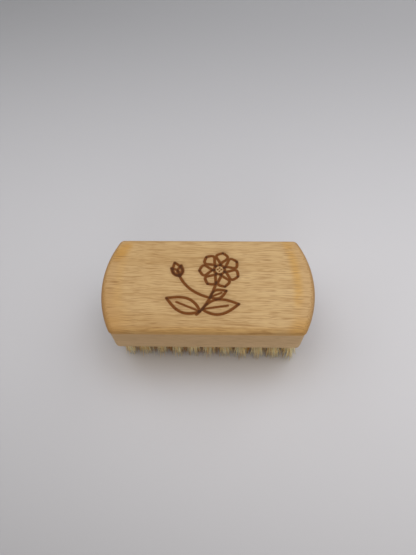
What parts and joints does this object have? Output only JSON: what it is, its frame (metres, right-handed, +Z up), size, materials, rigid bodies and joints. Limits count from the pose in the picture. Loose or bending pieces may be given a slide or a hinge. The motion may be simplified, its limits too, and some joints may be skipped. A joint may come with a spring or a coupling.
{
  "type": "nail brush",
  "caption": "Hand-held beech nail brush with rounded ends and staggered rows of trimmed bristle tufts, each held in a blind hole by a flat wire anchor.",
  "frame": {"origin": "on the plane of the trimmed bristle tips, below the middle of the block", "axes": "+X along the block, +Y towards its back long side, +Z up from the bristle tips to the flat top"},
  "size_m": [0.095, 0.0474, 0.036],
  "materials": {
    "beech": "sanded and lightly oiled beech, fine dark flecks along the grain",
    "bristle": "pale natural bristle, straw to cream, slightly glossy",
    "anchor_wire": "bright flat steel wire"
  },
  "bodies": {
    "root": {"block": "beech", "front_row_tufts": "bristle", "second_row_tufts": "bristle", "third_row_tufts": "bristle", "middle_row_tufts": "bristle", "fifth_row_tufts": "bristle", "sixth_row_tufts": "bristle", "back_row_tufts": "bristle", "front_row_anchors": "anchor_wire", "second_row_anchors": "anchor_wire", "third_row_anchors": "anchor_wire", "middle_row_anchors": "anchor_wire", "fifth_row_anchors": "anchor_wire", "sixth_row_anchors": "anchor_wire", "back_row_anchors": "anchor_wire"}
  },
  "joints": []
}
